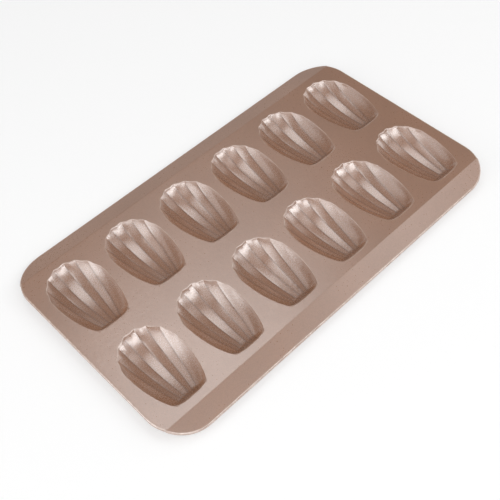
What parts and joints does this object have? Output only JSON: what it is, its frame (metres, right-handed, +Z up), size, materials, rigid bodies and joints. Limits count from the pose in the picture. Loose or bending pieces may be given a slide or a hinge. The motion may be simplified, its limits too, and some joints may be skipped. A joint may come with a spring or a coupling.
{
  "type": "madeleine pan",
  "caption": "Shallow pressed-steel madeleine pan: flat rounded deck, long sides bent down as wings, turned-down rim and rows of ribbed shell-shaped cups.",
  "frame": {"origin": "centre of the bounding box at the plane that the cups stand on", "axes": "+X along the pan, +Y from the cups' narrow ends to their scalloped ends, +Z up out of the cups"},
  "size_m": [0.3924, 0.224, 0.0134],
  "materials": {
    "coated_steel": "satin champagne metallic non-stick coat with a fine speckle, over carbon steel"
  },
  "bodies": {
    "root": {"deck_panel": "coated_steel", "wing_front": "coated_steel", "wing_rear": "coated_steel", "rim_front": "coated_steel", "rim_rear": "coated_steel", "rim_left": "coated_steel", "rim_right": "coated_steel", "cup_front_1": "coated_steel", "cup_front_2": "coated_steel", "cup_front_3": "coated_steel", "cup_front_4": "coated_steel", "cup_front_5": "coated_steel", "cup_front_6": "coated_steel", "cup_rear_1": "coated_steel", "cup_rear_2": "coated_steel", "cup_rear_3": "coated_steel", "cup_rear_4": "coated_steel", "cup_rear_5": "coated_steel", "cup_rear_6": "coated_steel"}
  },
  "joints": []
}
